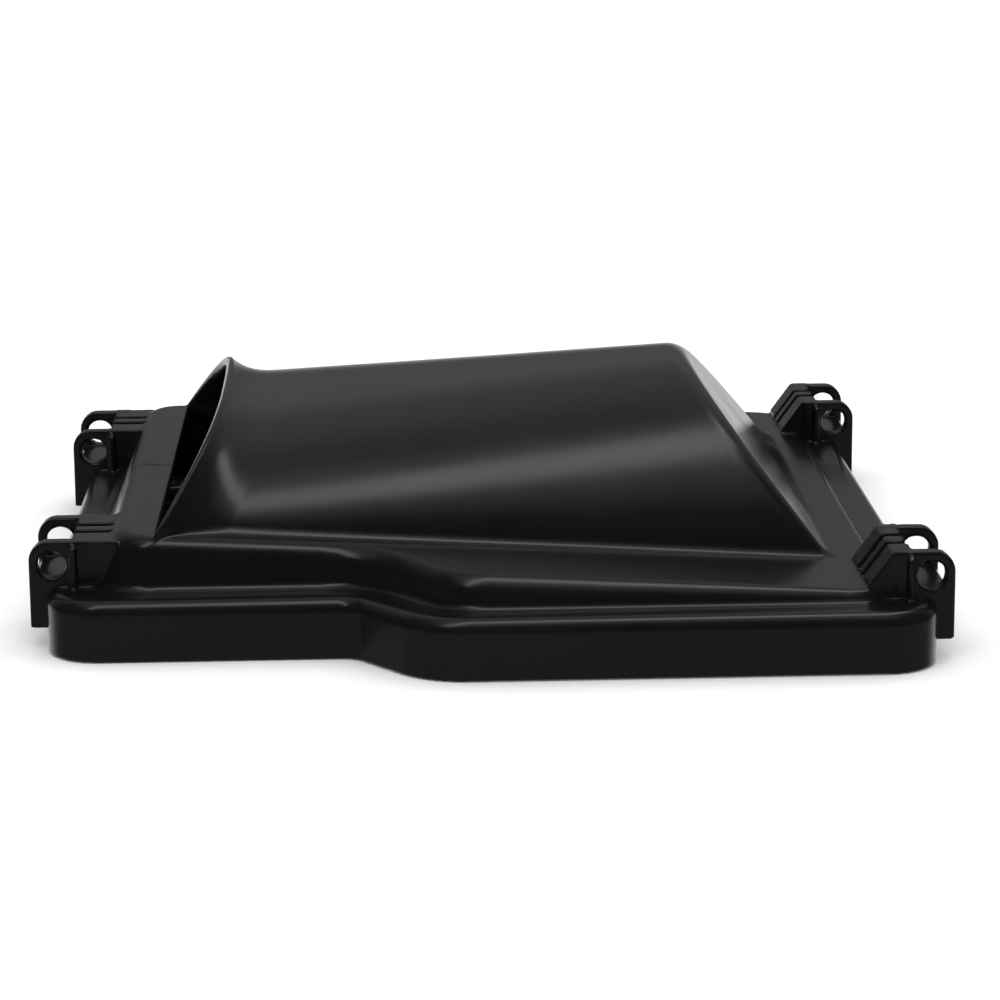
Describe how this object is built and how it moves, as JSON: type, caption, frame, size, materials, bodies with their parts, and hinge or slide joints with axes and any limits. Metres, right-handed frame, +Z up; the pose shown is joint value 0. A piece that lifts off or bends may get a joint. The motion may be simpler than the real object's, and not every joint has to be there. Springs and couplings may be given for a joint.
{
  "type": "air filter housing",
  "caption": "Low black moulded engine air filter housing with a wide forward scoop, stepped skirt and clevis lugs, over a base pan with a panel filter element.",
  "frame": {"origin": "centre of the footprint, on the plane of the cover skirt's lower edge", "axes": "+Z up, +X from the intake mouth towards the scoop's sloped end, +Y across the scoop"},
  "size_m": [0.25, 0.259, 0.0627],
  "materials": {
    "cover_plastic": "satin black injection moulding, fine grain",
    "base_plastic": "satin black glass-filled nylon",
    "black_rubber": "matt black moulded rubber",
    "seal_rubber": "soft black cast polyurethane",
    "filter_paper": "resin-treated pleated paper",
    "screen_steel": "galvanised expanded sheet",
    "glue_bead": "hot-melt adhesive",
    "oiled_foam": "open-cell charcoal foam",
    "zinc_steel": "bright zinc plate"
  },
  "bodies": {
    "base": {"base_pan": "base_plastic", "cover_gasket": "black_rubber", "outlet_seal": "black_rubber", "grommet_1": "black_rubber", "grommet_2": "black_rubber", "grommet_3": "black_rubber", "grommet_4": "black_rubber", "sleeve_1": "zinc_steel", "sleeve_2": "zinc_steel", "sleeve_3": "zinc_steel", "sleeve_4": "zinc_steel"},
    "lid": {"cover": "cover_plastic"},
    "foam": {"pre_cleaner": "oiled_foam"},
    "element": {"filter_frame": "seal_rubber", "filter_media": "filter_paper", "upper_screen": "screen_steel", "lower_screen": "screen_steel", "spacer_bead_1": "glue_bead", "spacer_bead_2": "glue_bead", "spacer_bead_3": "glue_bead"}
  },
  "joints": [
    {"name": "cover_lift", "type": "slide", "parent": "base", "child": "lid", "axis": [0, 0, 1], "range_m": [0, 0.12]},
    {"name": "pre_cleaner_lift", "type": "slide", "parent": "base", "child": "foam", "axis": [0, 0, 1], "range_m": [0, 0.08]},
    {"name": "element_lift", "type": "slide", "parent": "base", "child": "element", "axis": [0, 0, 1], "range_m": [0, 0.045]}
  ],
  "couplings": [
    {"joint": "pre_cleaner_lift", "follows": "cover_lift", "ratio": 0.62},
    {"joint": "element_lift", "follows": "cover_lift", "ratio": 0.34}
  ]
}
